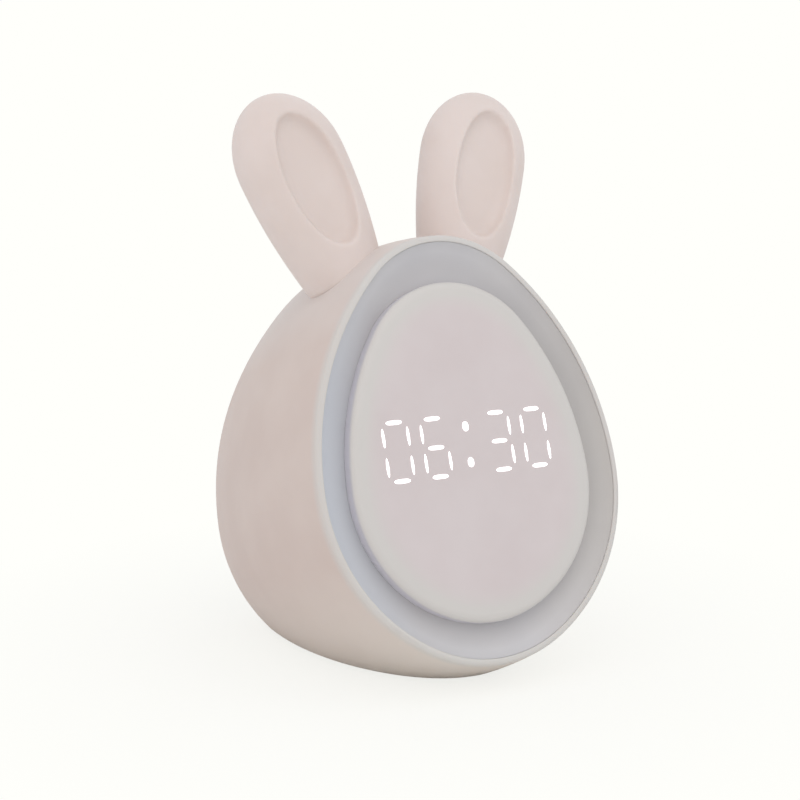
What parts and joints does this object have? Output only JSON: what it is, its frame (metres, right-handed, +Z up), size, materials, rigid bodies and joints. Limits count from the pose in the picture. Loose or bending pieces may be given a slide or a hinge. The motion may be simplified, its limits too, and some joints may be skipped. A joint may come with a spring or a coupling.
{
  "type": "alarm clock",
  "caption": "Bunny-eared egg-shaped alarm clock and night light with a dished light ring, a glowing digit plate, hollow ears and a rear panel with buttons, switch and charging socket.",
  "frame": {"origin": "on the table plane, under the middle of the clock, on the face of the anti-slip pad", "axes": "+Z up, -Y towards the viewer of the clock face, +X to the right as seen from the front"},
  "size_m": [0.1022, 0.1251, 0.1622],
  "materials": {
    "shell_plastic": "fine moulded matte, milky off-white",
    "ear_plastic": "fine moulded matte, milky off-white",
    "ring_diffuser": "translucent frosted white",
    "plate_diffuser": "translucent frosted white",
    "lit_pipe": "clear light pipe, lit white",
    "dark_pipe": "clear light pipe, unlit",
    "silicone_pad": "matt silicone",
    "reflector_plastic": "opaque white",
    "led_resin": "yellow phosphor resin",
    "board_laminate": "green solder mask over glass laminate",
    "screw_steel": "zinc plated",
    "connector_plastic": "cream moulded",
    "cable_film": "white polyester film over copper",
    "chip_resin": "black moulding compound",
    "can_metal": "drawn can",
    "button_plastic": "soft satin",
    "switch_plastic": "black moulded",
    "socket_steel": "nickel plated",
    "speaker_metal": "pressed steel",
    "speaker_film": "thin formed film",
    "magnet_ferrite": "sintered ferrite",
    "foam": "closed-cell foam",
    "grille_cloth": "fine woven mesh",
    "battery_foil": "aluminium laminate pouch",
    "copper_foil": "thin copper foil"
  },
  "bodies": {
    "housing": {"base_pad": "silicone_pad", "battery_cell": "battery_foil", "battery_circuit": "board_laminate", "battery_tape": "foam", "capacitors": "can_metal", "clock_chip": "chip_resin", "crystal": "can_metal", "display_board": "board_laminate", "display_board_screws": "screw_steel", "display_connector": "connector_plastic", "display_plate": "plate_diffuser", "ear_screws": "screw_steel", "ear_washers": "screw_steel", "left_ear_back": "ear_plastic", "left_ear_front": "ear_plastic", "light_ring": "ring_diffuser", "lit_segments": "lit_pipe", "main_board": "board_laminate", "main_board_screws": "screw_steel", "main_connector": "connector_plastic", "main_shell": "shell_plastic", "night_light_leds": "led_resin", "rear_cover": "shell_plastic", "rear_cover_screws": "screw_steel", "ribbon_cable": "cable_film", "right_ear_back": "ear_plastic", "right_ear_front": "ear_plastic", "segment_leds": "led_resin", "segment_reflector": "reflector_plastic", "slide_switch_body": "socket_steel", "sound_chip": "chip_resin", "speaker_cone": "speaker_film", "speaker_frame": "speaker_metal", "speaker_gasket": "foam", "speaker_magnet": "magnet_ferrite", "speaker_mesh": "grille_cloth", "tact_switches": "switch_plastic", "touch_pad": "copper_foil", "unlit_segments": "dark_pipe", "usb_socket_shell": "socket_steel", "usb_socket_tongue": "switch_plastic"},
    "mode_button": {"mode_button": "button_plastic", "mode_plunger": "switch_plastic"},
    "hour_button": {"hour_button": "button_plastic", "hour_plunger": "switch_plastic"},
    "minute_button": {"minute_button": "button_plastic", "minute_plunger": "switch_plastic"},
    "light_button": {"light_button": "button_plastic", "light_plunger": "switch_plastic"},
    "power_switch": {"slide_switch_knob": "switch_plastic"}
  },
  "joints": [
    {"name": "mode_press", "type": "slide", "parent": "housing", "child": "mode_button", "axis": [0, -0.9483, 0.3173], "range_m": [0, 0.0005], "stiffness_N_per_m": 400, "springref_m": -0.0005},
    {"name": "hour_press", "type": "slide", "parent": "housing", "child": "hour_button", "axis": [0, -0.9483, 0.3173], "range_m": [0, 0.0005], "stiffness_N_per_m": 400, "springref_m": -0.0005},
    {"name": "minute_press", "type": "slide", "parent": "housing", "child": "minute_button", "axis": [0, -0.9483, 0.3173], "range_m": [0, 0.0005], "stiffness_N_per_m": 400, "springref_m": -0.0005},
    {"name": "light_press", "type": "slide", "parent": "housing", "child": "light_button", "axis": [0, -0.9483, 0.3173], "range_m": [0, 0.0005], "stiffness_N_per_m": 400, "springref_m": -0.0005},
    {"name": "power_slide", "type": "slide", "parent": "housing", "child": "power_switch", "axis": [1, 0, 0], "range_m": [0, 0.002]}
  ]
}
